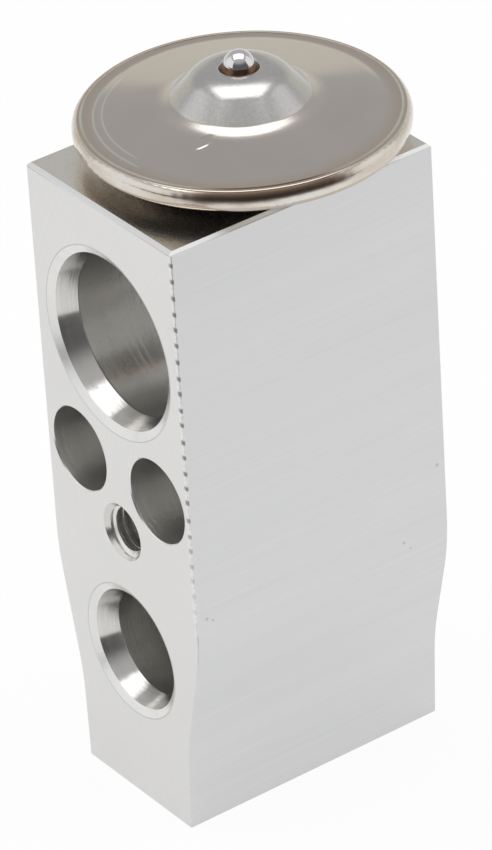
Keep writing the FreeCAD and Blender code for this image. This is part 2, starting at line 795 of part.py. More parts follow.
def make_adjusting_screw():
    """The bottom screw: thread, sealed shank with its groove, spring pilot and hex socket."""
    body = new_body("adjusting_screw")
    thread = mm.screw_thread_radius - mm.screw_gap
    shank = mm.chamber_radius - mm.screw_gap
    bottom = mm.screw_recess
    thread_top = bottom + mm.screw_thread_length
    groove_top = mm.seal_groove_height + mm.seal_groove_width
    pilot_top = mm.screw_top + mm.screw_pilot_height
    turned(body, "screw_form", [
        (0, bottom),
        (thread - mm.lead_in, bottom),
        (thread, bottom + mm.lead_in),
        (thread, thread_top),
        (shank, thread_top),
        (shank, mm.seal_groove_height),
        (mm.seal_groove_floor, mm.seal_groove_height),
        (mm.seal_groove_floor, groove_top),
        (shank, groove_top),
        (shank, mm.screw_top),
        (mm.screw_pilot_radius, mm.screw_top),
        (mm.screw_pilot_radius, pilot_top),
        (0, pilot_top),
    ])
    doc.recompute()
    socket = new_sketch(body, "hex_outline", "XY_Plane", (0, 0, bottom))
    corner_radius = mm.hex_across_flats / math.sqrt(3)
    outline(socket, [
        (corner_radius * math.cos(turn), corner_radius * math.sin(turn))
        for turn in (2 * math.pi * side / HEX_SIDES for side in range(HEX_SIDES))
    ])
    cut = feature(body, "Pocket", "hex_socket", socket, Type="Length", Reversed=True)
    cut.setExpression("Length", mm.hex_depth.formula)
    if removed_volume(body, cut) <= 0:
        raise RuntimeError("the hex socket cuts nothing")
    body.Tip = cut


def make_adjuster_seal():
    """The O-ring in the screw's groove, up to the chamber's wall."""
    seal = doc.addObject("Part::Torus", "adjuster_seal")
    seal.Label = "adjuster_seal"
    outer = mm.chamber_radius - mm.screw_gap / 2
    seal.setExpression("Radius1", ((outer + mm.seal_groove_floor) / 2).formula)
    seal.setExpression("Radius2", ((outer - mm.seal_groove_floor) / 2).formula)
    middle = mm.seal_groove_height + mm.seal_groove_width / 2
    seal.setExpression("Placement.Base.z", middle.formula)
    parts.append(seal)


make_valve_block()
make_head_base()
make_head_gasket()
make_diaphragm()
make_head_lid()
make_charge_ball()
make_diaphragm_plate()
make_sensing_rod()
make_push_rod()
make_rod_seal()
make_seal_retainer()
make_valve_ball()
make_ball_carrier()
make_damping_spring()
make_valve_spring()
make_adjusting_screw()
make_adjuster_seal()
doc.recompute()

failed = [item.Name for item in doc.Objects if "Invalid" in item.State or "Error" in item.State]
if failed:
    raise RuntimeError(f"features that failed: {failed}")
os.makedirs("parts", exist_ok=True)
for part in parts:
    shape = part.Shape
    if shape.isNull() or not shape.isValid():
        raise RuntimeError(f"{part.Label} has no valid shape")
for part in parts:
    part.Shape.exportStep(os.path.join("parts", f"{part.Label}.step"))
    print(f"{part.Label}: {len(part.Shape.Solids)} solid, {part.Shape.Volume:.2f} mm3")
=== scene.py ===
# %% [markdown]
# # Dressing a block expansion valve
# This small valve meters the refrigerant of a cooling circuit. An aluminium block holds crossing
# ports, and a round steel head on top opens and closes a ball valve inside. The measured solids come
# from the frame, so nothing is placed by eye: this script gives each piece its finish, adds what only
# shows close up, such as the weld beads and the thread, and sets the light and the camera.

# %% Load the frame and keep its box
import json
import math

import bpy
from mathutils import Euler, Matrix, Vector


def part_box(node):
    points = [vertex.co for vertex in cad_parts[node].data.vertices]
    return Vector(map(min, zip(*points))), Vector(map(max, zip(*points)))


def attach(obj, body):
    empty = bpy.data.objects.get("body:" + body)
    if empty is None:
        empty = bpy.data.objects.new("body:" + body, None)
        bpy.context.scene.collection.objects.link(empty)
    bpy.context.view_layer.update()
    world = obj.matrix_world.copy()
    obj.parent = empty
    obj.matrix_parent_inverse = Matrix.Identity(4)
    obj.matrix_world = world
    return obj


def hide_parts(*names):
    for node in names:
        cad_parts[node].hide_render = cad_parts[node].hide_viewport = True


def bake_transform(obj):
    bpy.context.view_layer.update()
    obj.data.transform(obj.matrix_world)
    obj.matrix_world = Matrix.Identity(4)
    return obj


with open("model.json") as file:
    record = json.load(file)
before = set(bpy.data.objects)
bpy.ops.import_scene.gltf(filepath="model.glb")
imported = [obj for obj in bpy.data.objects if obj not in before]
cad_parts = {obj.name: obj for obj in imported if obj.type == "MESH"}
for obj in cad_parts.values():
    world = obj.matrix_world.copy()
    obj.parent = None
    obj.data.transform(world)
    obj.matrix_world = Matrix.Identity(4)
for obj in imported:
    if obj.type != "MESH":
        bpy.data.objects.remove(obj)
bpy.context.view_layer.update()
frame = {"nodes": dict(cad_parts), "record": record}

MM = 0.001
mounts = {mount["name"]: mount for mount in frame["record"]["mounts"]}

# %% [markdown]
# ## The camera
# A product photograph is taken from far away with a long lens, so its lines hardly converge. The
# place, turn and lens below were worked out from the corners of the block and the circles of its
# ports. A long lens far off was chosen over a short one near by, because only it gives the same slight
# perspective.

# %% Place the camera
CAMERA_PLACE = Vector((455.229, -320.677, 385.955)) * MM
CAMERA_TURN = (58.109, 3.0745, 53.096)
CAMERA_LENS = 254.49
SENSOR_WIDTH = 36

camera_data = bpy.data.cameras.new("camera")
camera_data.lens = CAMERA_LENS
camera_data.sensor_width = SENSOR_WIDTH
camera = bpy.data.objects.new("camera", camera_data)
camera.location = CAMERA_PLACE
camera.rotation_euler = Euler([math.radians(angle) for angle in CAMERA_TURN])
bpy.context.scene.collection.objects.link(camera)
bpy.context.scene.camera = camera
bpy.context.scene.view_settings.view_transform = "Standard"
print("camera distance in mm:", round(CAMERA_PLACE.length / MM))

# %% [markdown]
# ## Sums on sockets
# A procedural finish is a small formula: how far from the axis, how noisy, how bright. In the shader
# editor each sum is a Math node. Here a class wraps a socket, so that the same formula is written as
# plain arithmetic and each operator adds its node. The other way, naming and linking every Math node
# by hand, hides a short idea in long code.

# %% A wire that can be calculated with


class Wire:
    """A socket of a finish; sums on it add Math nodes."""

    def __init__(self, finish, socket):
        self.finish = finish
        self.socket = socket

    def maths(self, operation, *values):
        return self.finish.node("ShaderNodeMath", {"operation": operation}, dict(enumerate(values)))

    def __add__(self, other):
        return self.maths("ADD", self, other)

    def __sub__(self, other):
        return self.maths("SUBTRACT", self, other)

    def __rsub__(self, other):
        return self.maths("SUBTRACT", other, self)

    def __mul__(self, other):
        return self.maths("MULTIPLY", self, other)

    def __truediv__(self, other):
        return self.maths("DIVIDE", self, other)

    def __pow__(self, other):
        return self.maths("POWER", self, other)

    __radd__ = __add__
    __rmul__ = __mul__

    def step(self, low, high):
        """0 below low, 1 above high, and a soft climb between."""
        inputs = {"Value": self, "From Min": low, "From Max": high}
        return self.finish.node("ShaderNodeMapRange", {"interpolation_type": "SMOOTHSTEP"}, inputs)

    def band(self, middle, width):
        """1 at the middle, falling to 0 at width on both sides."""
        return 1 - self.maths("ABSOLUTE", self - middle).step(0, width)


# %% [markdown]
# ## Finishes
# Every metal here is the same shader with other numbers: a base colour, a roughness, and a fine relief
# that breaks the reflections. The class below starts such a finish, hands out coordinates and noise,
# and joins the results to the shader. Noise is read in the part's own coordinates, in metres, so that
# it sticks to the metal and has its real size. Painted pictures were the other way, but then every
# piece would first need its surface unwrapped.

# %% A finish made of nodes


class Finish:
    """A metal or rubber made of nodes on a Principled shader, begun with a plain colour and roughness."""

    def __init__(self, name, color, roughness, metallic=1.0):
        self.material = bpy.data.materials.new(name)
        self.material.use_nodes = True
        self.tree = self.material.node_tree
        self.shader = self.tree.nodes["Principled BSDF"]
        self.set("Base Color", (*color, 1))
        self.set("Roughness", roughness)
        self.set("Metallic", metallic)

    def connect(self, socket, value):
        """Give a socket a value, or the wire that brings it one."""
        if isinstance(value, Wire):
            self.tree.links.new(value.socket, socket)
        else:
            socket.default_value = value

    def set(self, name, value):
        """Connect an input of the shader by its name."""
        self.connect(self.shader.inputs[name], value)

    def node(self, kind, settings, inputs, output=0):
        """Any node: its settings come first, then the values or wires of its sockets."""
        made = self.tree.nodes.new(kind)
        for key, value in settings.items():
            setattr(made, key, value)
        for key, value in inputs.items():
            self.connect(made.inputs[key], value)
        return Wire(self, made.outputs[output])

    def place(self, scale=(1, 1, 1)):
        """Object coordinates in metres, stretched by scale."""
        spot = self.node("ShaderNodeTexCoord", {}, {}, "Object")
        return self.node("ShaderNodeVectorMath", {"operation": "MULTIPLY"}, {0: spot, 1: scale})

    def axis(self, letter):
        """One of the three object coordinates, in metres."""
        return self.node("ShaderNodeSeparateXYZ", {}, {"Vector": self.place()}, letter)

    def radius(self, first="X", second="Y", centre=(0, 0)):
        """Distance from an axis that runs along the third direction."""
        across = self.axis(first) - centre[0]
        up = self.axis(second) - centre[1]
        return (across * across + up * up) ** 0.5

    def noise(self, scale, detail=3.0):
        """Noise between 0 and 1; scale says how many grains go into a metre each way."""
        inputs = {"Vector": self.place(scale), "Scale": 1.0, "Detail": detail}
        return self.node("ShaderNodeTexNoise", {}, inputs)

    def stripes(self, count, detail=3.0):
        """Noise along one measure only, so that it makes lines or rings; count says how many so far."""
        inputs = {"W": count, "Scale": 1.0, "Detail": detail}
        return self.node("ShaderNodeTexNoise", {"noise_dimensions": "1D"}, inputs)

    def mix(self, factor, first, second):
        """One colour turning into another as the factor goes from 0 to 1."""
        inputs = {0: factor, 6: first, 7: second}
        return self.node("ShaderNodeMix", {"data_type": "RGBA"}, inputs, 2)

    def grooves(self, letter, per_metre, tilt, lean=0):
        """Tilt the surface to and fro along one axis, as fine turning marks do, and lean it outwards."""
        marks = self.stripes(self.axis(letter) * per_metre, detail=1.0)
        along = tuple(float(letter == other) for other in "XYZ")
        amount = (marks - 0.5) * tilt + self.axis(letter) * lean
        push = self.node("ShaderNodeVectorMath", {"operation": "SCALE"}, {0: along, "Scale": amount})
        normal = self.node("ShaderNodeNewGeometry", {}, {}, "Normal")
        tilted = self.node("ShaderNodeVectorMath", {"operation": "ADD"}, {0: normal, 1: push})
        self.set("Normal", self.node("ShaderNodeVectorMath", {"operation": "NORMALIZE"}, {0: tilted}))

    def relief(self, height, distance):
        """Raise the surface by a height from 0 to 1 times distance, in metres."""
        self.set("Normal", self.node("ShaderNodeBump", {}, {"Height": height, "Distance": distance}))


def rgb(red, green, blue):
    """An opaque colour as a socket wants it."""
    return (red, green, blue, 1)


finishes = {}


def keep(label, finish):
    """Put a finish on the list, under the name of what it is for."""
    finishes[label] = finish
    print(label, "finish, nodes:", len(finish.tree.nodes))


# %% [markdown]
# ## The block's surfaces
# The block is cut from a long extruded bar, so its sides carry fine lines along the way it was pressed.
# The two port faces are milled flat, the seats of the ports are turned by a form tool, and the rest is
# drilled. One shared noise would make them look cast, so each gets its own: stretched along the bar for
# the sides, in wide arcs for the milling, and in rings for what turned.
#
# Handling has left its traces: a row of nicks down the corner by the port face and a few dents on the wide
# side. Each is a soft mask at its place, mixed into the colour: the nicks and dents get painted shade, and
# the edge between the nicks and the top edge of the wide side get a painted highlight. Real dents in the
# mesh would cost many faces and look the same from here.

# %% The nicked corner edge
BLOCK_CORNER = (0.0130, -0.0192)
NICKS_ON_PORT_FACE = (0.00030, 0.00062)
NICKS_ON_SIDE = (0.00010, 0.00022)
NICK_SPACING = 0.00195
NICK_SWAY = 0.0010
NICKS_TOP = (0.0738, 0.0742)
NICKS_FOOT = (0.026, 0.048)
EDGE_HIGHLIGHT_FOOT = (0.024, 0.03)
NICK_SHADE_COLOR = rgb(0.20, 0.18, 0.18)
NICK_HIGHLIGHT_COLOR = rgb(0.92, 0.92, 0.91)


def nicked(finish, bare):
    """Mix painted shade of little dents, evenly spaced down the corner by the port face, and a painted
    highlight on the edge between them, into a colour.
    """
    beside = 1 - (BLOCK_CORNER[0] - finish.axis("X")).step(*NICKS_ON_PORT_FACE)
    beside = beside * (1 - (finish.axis("Y") - BLOCK_CORNER[1]).step(*NICKS_ON_SIDE))
    height = finish.axis("Z")
    sway = finish.noise((60, 60, 260), detail=1) * NICK_SWAY
    beat = (NICKS_TOP[0] - height + sway) / NICK_SPACING
    dash = finish.node("ShaderNodeMath", {"operation": "FRACT"}, {0: beat}).band(0.5, 0.26)
    worn = height.step(*NICKS_FOOT) * (1 - height.step(*NICKS_TOP))
    crumbs = finish.noise((2600, 2600, 2600), detail=2)
    # The dark dashes are painted shade in the nicks; the bright bits between them are a painted highlight
    # on the edge.
    spot = (dash + (crumbs - 0.5) * 0.6).step(0.2, 0.8) * beside * worn
    edge_highlight = (1 - dash.step(0.0, 0.3)) * beside * height.step(*EDGE_HIGHLIGHT_FOOT) * crumbs.step(0.4, 0.6)
    highlighted = finish.mix(edge_highlight * 0.5, bare, NICK_HIGHLIGHT_COLOR)
    return finish.mix(spot * 0.85, highlighted, NICK_SHADE_COLOR)


# %% Extruded sides
WIDE_SIDE = (0.011, 0.012)
DENT_SHADE_COLOR = rgb(0.34, 0.34, 0.36)
# Each dent on the wide side: its y, its z and its size, in metres.
HANDLING_MARKS = (
    (0.01395, 0.03514, 0.00030),
    (0.00896, 0.02713, 0.00026),
    (0.00988, 0.02608, 0.00020),
    (-0.01780, 0.02902, 0.00028),
    (-0.01703, 0.02855, 0.00022),
)
TOP_EDGE = 0.07462
TOP_EDGE_HIGHLIGHT_HEIGHT = 0.00006
TOP_EDGE_HIGHLIGHT_SIDE = (0.0125, 0.0127)
TOP_EDGE_HIGHLIGHT_COLOR = rgb(0.97, 0.97, 0.96)

extruded = Finish("extruded_aluminium", (0.70, 0.70, 0.70), 0.36)
lines = extruded.noise((2600, 45, 2600), detail=4)
broad = extruded.noise((260, 12, 260), detail=2)
scratches = extruded.noise((420, 60, 5200), detail=2).step(0.66, 0.74)
bare = extruded.mix(lines * 0.6 + broad * 0.4, rgb(0.64, 0.645, 0.65), rgb(0.76, 0.76, 0.755))
# Each dent is a darker spot of painted shade, since the mesh stays flat there.
for mark_y, mark_z, size in HANDLING_MARKS:
    dent_shade = 1 - extruded.radius("Y", "Z", (mark_y, mark_z)).step(size * 0.4, size)
    bare = extruded.mix(dent_shade * extruded.axis("X").step(*WIDE_SIDE) * 0.5, bare, DENT_SHADE_COLOR)
# A painted highlight along the top edge of the wide side.
top_edge_highlight = extruded.axis("Z").step(TOP_EDGE - TOP_EDGE_HIGHLIGHT_HEIGHT, TOP_EDGE) * extruded.axis("X").step(*TOP_EDGE_HIGHLIGHT_SIDE)
bare = extruded.mix(top_edge_highlight * 0.8, bare, TOP_EDGE_HIGHLIGHT_COLOR)
extruded.set("Base Color", nicked(extruded, bare))
extruded.set("Roughness", 0.30 + lines * 0.12 + scratches * 0.05)
extruded.relief(lines + broad * 0.6 - scratches * 0.3, 0.000006)
keep("extruded", extruded)

# %% Milled port faces
MILLING_CENTRE = (0.055, 0.035)
MILLING_MARKS = 2300
# The radius in mm of the ring that a tool has scored round each port.
PORT_RINGS = (
    ("suction_port_front", 11.19),
    ("suction_port_back", 11.19),
    ("liquid_inlet", 8.04),
    ("liquid_outlet", 8.04),
)
RING_WIDTH = 0.00012
RING_COLOR = rgb(0.36, 0.35, 0.34)

milled = Finish("milled_aluminium", (0.74, 0.735, 0.72), 0.34)
rows = milled.stripes(milled.radius("X", "Z", MILLING_CENTRE) * MILLING_MARKS)
cloud = milled.noise((90, 90, 90))
plain = milled.mix(rows * 0.5 + cloud * 0.5, rgb(0.69, 0.685, 0.67), rgb(0.79, 0.785, 0.77))
for mount, ring in PORT_RINGS:
    depth, height = mounts[mount]["pos_m"][1:]
    scored = milled.radius("X", "Z", (0, height)).band(ring * MM, RING_WIDTH)
    same_face = (milled.axis("Y") * math.copysign(1, depth)).step(0, 0.001)
    plain = milled.mix(scored * same_face * 0.55, plain, RING_COLOR)
milled.set("Base Color", nicked(milled, plain))
milled.set("Roughness", 0.30 + rows * 0.10)
milled.relief(rows, 0.000004)
keep("milled", milled)

# %% The top under the head
TOP_MARKS = 2400

top = Finish("cut_top_aluminium", (0.80, 0.78, 0.74), 0.26)
top_rings = top.stripes(top.radius() * TOP_MARKS, detail=2.0)
specks = top.noise((2600, 2600, 2600), detail=2).step(0.64, 0.76) * 0.6
top.set("Base Color", top.mix(specks, rgb(0.74, 0.71, 0.665), rgb(0.32, 0.28, 0.25)))
top.set("Roughness", 0.22 + top_rings * 0.06 + specks * 0.2)
top.relief(top_rings, 0.000001)
keep("top", top)

# %% [markdown]
# The marks of turning are too fine to be seen one by one, but they smear every reflection along the
# bore. So they tilt the normal, because a relief so fine would be lost between two pixels. The normals
# of the seats also lean outwards by some seven degrees: without it the seats would mirror another part
# of the room. The cone at each mouth is cut cleaner and looks brighter, so it has its own finish.

# %% Turned seats of the ports
TURNING_MARKS = 45000
SEAT_LEAN = 7

turned = Finish("turned_aluminium", (0.86, 0.85, 0.83), 0.12)
turned.grooves("Y", TURNING_MARKS, tilt=0.8, lean=SEAT_LEAN)
smear = turned.noise((300, 40, 300), detail=2)
turned.set("Base Color", turned.mix(smear, rgb(0.60, 0.59, 0.57), rgb(0.70, 0.69, 0.67)))
turned.set("Roughness", 0.10 + smear * 0.08)
keep("turned", turned)

# %% The bright lips of the ports
lip = Finish("bright_lip_aluminium", (0.85, 0.84, 0.83), 0.24)
lip_marks = lip.noise((700, 700, 700))
lip.set("Base Color", lip.mix(lip_marks, rgb(0.71, 0.705, 0.695), rgb(0.81, 0.805, 0.795)))
lip.set("Roughness", 0.20 + lip_marks * 0.08)
keep("lip", lip)

# %% Drilled bores, with painted shade in the low ports
LOW_PORTS = (0.029, 0.0305)

drilled = Finish("drilled_aluminium", (0.85, 0.84, 0.81), 0.2, metallic=0.9)
drilled.grooves("Y", TURNING_MARKS, tilt=1.2)
haze = drilled.noise((420, 60, 420))
# Less light gets into the low ports, so their bores are painted darker: painted shade.
low_port_shade = 1 - drilled.axis("Z").step(*LOW_PORTS)
drilled.set("Base Color", drilled.mix(
    low_port_shade,
    drilled.mix(haze, rgb(0.75, 0.74, 0.72), rgb(0.83, 0.82, 0.79)),
    drilled.mix(haze, rgb(0.58, 0.57, 0.55), rgb(0.66, 0.65, 0.62)),
))
drilled.set("Roughness", 0.17 + haze * 0.08)
keep("drilled", drilled)

# %% [markdown]
# ## The steel head
# The head is stamped from stainless sheet. The weld at its rim has tinted the steel straw and brown
# near the edge, so the colour is a function of the distance from the axis. The dome was drawn deepest
# and is greyer and duller, and a press tool has left a small nub beside it. Two pale arcs on one side of
# the slope are a painted highlight, where the slope catches the light from that side. A painted picture
# could do this too, but it would be fixed in its detail, while the formula stays sharp close up.

# %% Stamped steel with the weld's heat tint
HEAT_TINT = (0.0150, 0.0170)
DOME_EDGE = (0.0071, 0.0076)
DRAWN_EDGE = (0.0086, 0.0096)
NUB_PLACE = (0.0047, -0.0086)
NUB_SIZE = (0.0009, 0.0017)
ARC_RADII = (0.01575, 0.0148)
ARC_WIDTHS = (0.00022, 0.00018)
ARC_ENDS = (-0.0145, -0.0135)
ARC_HIGHLIGHT_COLOR = rgb(0.80, 0.76, 0.70)

steel = Finish("stamped_steel", (0.60, 0.56, 0.52), 0.2)
reach = steel.radius()
grain = steel.noise((3800, 3800, 3800))
clouds = steel.noise((160, 160, 160))
heat = (reach + (clouds - 0.5) * 0.0014).step(*HEAT_TINT)
across_nub = (steel.axis("X") - NUB_PLACE[0]) / NUB_SIZE[0]
along_nub = (steel.axis("Y") - NUB_PLACE[1]) / NUB_SIZE[1]
nub = 1 - (across_nub * across_nub + along_nub * along_nub).step(0, 1)
# The two arcs are a painted highlight, kept to the side of the lid that faces the light.
arc_lit_side = 1 - (steel.axis("X") * 0.6 + steel.axis("Y")).step(*ARC_ENDS)
arcs = reach.band(ARC_RADII[0], ARC_WIDTHS[0]) + reach.band(ARC_RADII[1], ARC_WIDTHS[1])
arc_highlight = arcs * arc_lit_side * 0.6
tinted = steel.mix(
    heat,
    steel.mix(clouds, rgb(0.53, 0.495, 0.46), rgb(0.59, 0.55, 0.51)),
    steel.mix(clouds, rgb(0.48, 0.42, 0.355), rgb(0.56, 0.49, 0.42)),
)
dome = 1 - reach.step(*DOME_EDGE)
drawn = 1 - reach.step(*DRAWN_EDGE)
tinted = steel.mix(dome, tinted, steel.mix(grain, rgb(0.46, 0.455, 0.445), rgb(0.58, 0.575, 0.565)))
steel.set("Base Color", steel.mix(arc_highlight, tinted, ARC_HIGHLIGHT_COLOR))
steel.set("Roughness", 0.07 + grain * 0.05 + clouds * 0.03 + drawn * 0.14)
steel.relief(grain * (0.35 + drawn * 0.6) + clouds * 0.6 + nub * 12, 0.000008)
keep("steel", steel)

# %% [markdown]
# The bead at the rim froze in small ripples, one after the other round the circle, so its relief is a
# sine of the angle round the axis. Its upper side is a little browned by the weld, and on the side that
# faces the camera it is painted dark, a painted reflection of the dark side of the room. The weld round
# the small ball is burnt dark all over, and its dark colour is partly a painted reflection as well.

# %% The weld bead at the rim
RIPPLES = 90
UPPER_BAND_HEIGHT = (0.0780, 0.0788)
DARK_REFLECTION_HEADING = (0.89, -0.454)
DARK_REFLECTION_REACH = (0.0150, 0.0168)
SCORCH_AND_DARK_REFLECTION_COLOR = rgb(0.13, 0.085, 0.06)

bead = Finish("weld_bead", (0.74, 0.68, 0.60), 0.2)
angle = bead.node("ShaderNodeMath", {"operation": "ARCTAN2"}, {0: bead.axis("Y"), 1: bead.axis("X")})
around = angle * RIPPLES + bead.noise((500, 500, 500), detail=2) * 5
ripple = bead.node("ShaderNodeMath", {"operation": "SINE"}, {0: around})
patches = bead.noise((150, 150, 520))
upper_band = (bead.axis("Z") + (patches - 0.5) * 0.0012).step(*UPPER_BAND_HEIGHT)
# Towards the camera the upper side is painted dark: a painted reflection of the dark side of the room.
dark_reflection_side = (bead.axis("X") * DARK_REFLECTION_HEADING[0] + bead.axis("Y") * DARK_REFLECTION_HEADING[1]).step(*DARK_REFLECTION_REACH)
bead.set("Base Color", bead.mix(
    upper_band * (0.08 + dark_reflection_side * 0.87),
    bead.mix(patches.step(0.35, 0.65), rgb(0.74, 0.71, 0.66), rgb(0.64, 0.56, 0.48)),
    SCORCH_AND_DARK_REFLECTION_COLOR,
))
bead.set("Roughness", 0.14 + patches * 0.10 + upper_band * dark_reflection_side * 0.22)
bead.relief(ripple * 0.3 + patches, 0.00002)
keep("bead", bead)

# %% The weld round the small ball: scorched, with a painted dark reflection
scorch = Finish("scorched_weld", (0.20, 0.12, 0.08), 0.3)
soot = scorch.noise((1400, 1400, 1400))
# The dark colour is partly the weld's scorch and partly a painted reflection of the dark ring round the
# ball's foot.
scorch.set("Base Color", scorch.mix(soot, rgb(0.06, 0.03, 0.02), rgb(0.24, 0.14, 0.09)))
scorch.set("Roughness", 0.2 + soot * 0.2)
scorch.relief(soot, 0.00002)
keep("scorch", scorch)

# %% [markdown]
# ## Balls, wire, brass, rod and rubber
# The balls are ground and polished, so they mirror the room with hardly any haze. Spring wire is drawn
# and a little dull. Brass and rod come off a lathe, which leaves rings round the brass and fine lines
# across the rod. Moulded rubber isn't a metal and has a dull skin. Plain colours would nearly do for
# such small pieces, but an even roughness is what makes metal look like plastic.

# %% Ground balls and spring wire
ball = Finish("polished_ball", (0.80, 0.80, 0.81), 0.06)
ball_haze = ball.noise((700, 700, 700))
ball.set("Roughness", 0.04 + ball_haze * 0.06)
ball.set("Base Color", ball.mix(ball_haze, rgb(0.64, 0.64, 0.66), rgb(0.74, 0.74, 0.76)))
keep("ball", ball)

wire_steel = Finish("spring_wire", (0.42, 0.42, 0.44), 0.3)
wire_marks = wire_steel.noise((1500, 1500, 1500))
wire_steel.set("Base Color", wire_steel.mix(wire_marks, rgb(0.34, 0.34, 0.36), rgb(0.50, 0.50, 0.52)))
wire_steel.set("Roughness", 0.24 + wire_marks * 0.14)
keep("spring", wire_steel)

# %% Turned brass and rod
BRASS_MARKS = 3000
ROD_MARKS = 3600

brass = Finish("turned_brass", (0.78, 0.62, 0.34), 0.22)
brass_rings = brass.stripes(brass.radius() * BRASS_MARKS)
brass.set("Base Color", brass.mix(brass_rings, rgb(0.70, 0.54, 0.28), rgb(0.84, 0.69, 0.40)))
brass.set("Roughness", 0.16 + brass_rings * 0.14)
keep("brass", brass)

rod = Finish("turned_rod", (0.70, 0.70, 0.71), 0.24)
rod_lines = rod.stripes(rod.axis("Z") * ROD_MARKS)
rod.set("Base Color", rod.mix(rod_lines, rgb(0.62, 0.62, 0.63), rgb(0.77, 0.77, 0.78)))
rod.set("Roughness", 0.18 + rod_lines * 0.14)
rod.relief(rod_lines, 0.000004)
keep("rod", rod)

# %% Moulded rubber
rubber = Finish("moulded_rubber", (0.03, 0.03, 0.032), 0.55, metallic=0.0)
skin = rubber.noise((2500, 2500, 2500))
rubber.set("Base Color", rubber.mix(skin, rgb(0.022, 0.022, 0.024), rgb(0.045, 0.045, 0.048)))
rubber.set("Roughness", 0.48 + skin * 0.2)
rubber.relief(skin, 0.000008)
keep("rubber", rubber)
print("finishes:", len(finishes))

# %% [markdown]
# ## From loose triangles to a smooth piece
# A solid arrives as loose triangles, which catch the light as flat facets. A copy is made instead of
# changing it: equal points are merged, triangles of one plane are joined, and the shading is smoothed
# across gentle edges only. Modelling the same shape again would risk other sizes.

# %% A helper for finished copies
MERGE_WITHIN = 0.002
FLAT_WITHIN = 0.05
SMOOTH_BELOW = 28


def edit(piece):
    """Deselect everything, then open one piece in edit mode with all of it selected."""
    if bpy.context.object and bpy.context.object.mode != "OBJECT":
        bpy.ops.object.mode_set(mode="OBJECT")
    bpy.ops.object.select_all(action="DESELECT")
    bpy.context.view_layer.objects.active = piece
    piece.select_set(True)
    bpy.ops.object.mode_set(mode="EDIT")
    bpy.ops.mesh.select_all(action="SELECT")


def smooth(piece, angle=SMOOTH_BELOW):
    """Leave edit mode and smooth the shading across edges flatter than the angle."""
    bpy.ops.object.mode_set(mode="OBJECT")
    bpy.ops.object.shade_smooth_by_angle(angle=math.radians(angle))
    print(piece.name, "faces:", len(piece.data.polygons))


def finished_copy(node, name, finish, body, angle=SMOOTH_BELOW):
    """A merged, smooth copy that stands for a node of the frame, riding on a body if one is named."""
    piece = bpy.data.objects.new(name, frame["nodes"][node].data.copy())
    bpy.context.scene.collection.objects.link(piece)
    edit(piece)
    bpy.ops.mesh.remove_doubles(threshold=MERGE_WITHIN * MM)
    bpy.ops.mesh.dissolve_limited(angle_limit=math.radians(FLAT_WITHIN))
    smooth(piece, angle)
    piece.data.materials.clear()
    piece.data.materials.append(finishes[finish].material)
    if body:
        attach(piece, body)
    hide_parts(node)
    return piece


# %% [markdown]
# ## The block
# The extruded block is the largest piece by far. Its flat sides come straight from the solid. The holes
# don't: polished bores show every facet, so each is cut once more by a tool with many more sides. A
# Boolean modifier takes the tool away, as the real form tool takes the metal. The seats of the ports
# narrow slightly inwards, which only their reflections show. So each mouth is first filled with a plug
# and then cut with that taper. Lengths are given in mm from here on, as on a drawing.

# %% Copy the block and tell its outer faces apart
SURFACES = ("extruded", "milled", "top", "lip", "turned", "drilled")
BLOCK_SMOOTH_BELOW = 18
FACING = 0.99
TOUCHING = 0.01
EDGE_BAND = 0.2
TOP_BAND = 0.5
FLANK_TURN = 0.3
FLANK_PLACE = 8.5


def give_surfaces(piece):
    """Give a piece the finishes of the block in the order of their names."""
    piece.data.materials.clear()
    for surface in SURFACES:
        piece.data.materials.append(finishes[surface].material)


block = finished_copy(
    "valve_block", "block", "extruded", "valve_body", BLOCK_SMOOTH_BELOW
)
port_face_y = mounts["port_face"]["pos_m"][1] / MM
back_face_y = mounts["back_face"]["pos_m"][1] / MM
block_top = max(vertex.co.z for vertex in block.data.vertices) / MM
give_surfaces(block)


def surface_of(face):
    """Tell by its place and its normal how a face of the plain block was made."""
    spot, normal = face.center / MM, face.normal
    from_port_face = min(abs(spot.y - port_face_y), abs(spot.y - back_face_y))
    if abs(normal.y) > FACING and from_port_face < TOUCHING:
        return "milled"
    if normal.z > FACING and spot.z > block_top - TOUCHING:
        return "top"
    flank = normal.x * spot.x > 0 and abs(normal.x) > FLANK_TURN and abs(spot.x) > FLANK_PLACE
    edge = from_port_face < EDGE_BAND or spot.z < EDGE_BAND or spot.z > block_top - TOP_BAND
    return "extruded" if flank or edge else "drilled"


for face in block.data.polygons:
    face.material_index = SURFACES.index(surface_of(face))
print("block top in mm:", round(block_top, 2))

# %% [markdown]
# Holes and plugs, and later the pieces of the head, all begin as half a section that is spun round an
# axis, like work on a lathe. A cylinder for each step would leave inner walls to be cleaned away.

# %% Helpers that draw a section and spin it


def drawn_section(name, points, closed):
    """A piece made of points in mm joined by edges, which go back to the first point if it is closed."""
    mesh = bpy.data.meshes.new(name)
    edge_count = len(points) if closed else len(points) - 1
    edges = [(number, (number + 1) % len(points)) for number in range(edge_count)]
    mesh.from_pydata([tuple(value * MM for value in point) for point in points], edges, [])
    piece = bpy.data.objects.new(name, mesh)
    bpy.context.scene.collection.objects.link(piece)
    return piece


def spin(piece, steps, centre, axis, merge):
    """Spin the section of a piece round an axis into a skin that faces outwards; stay in edit mode."""
    edit(piece)
    bpy.ops.mesh.spin(steps=steps, angle=math.tau, center=centre, axis=axis)
    bpy.ops.mesh.select_all(action="SELECT")
    bpy.ops.mesh.remove_doubles(threshold=merge * MM)
    bpy.ops.mesh.normals_make_consistent(inside=False)


# %% A tool for round holes
TOOL_STEPS = 160
TOOL_GROWTH = 0.01
TOOL_MERGE = 0.001
MOUTH_DEPTH = 0.5
TURNED_DEPTH = 3.25


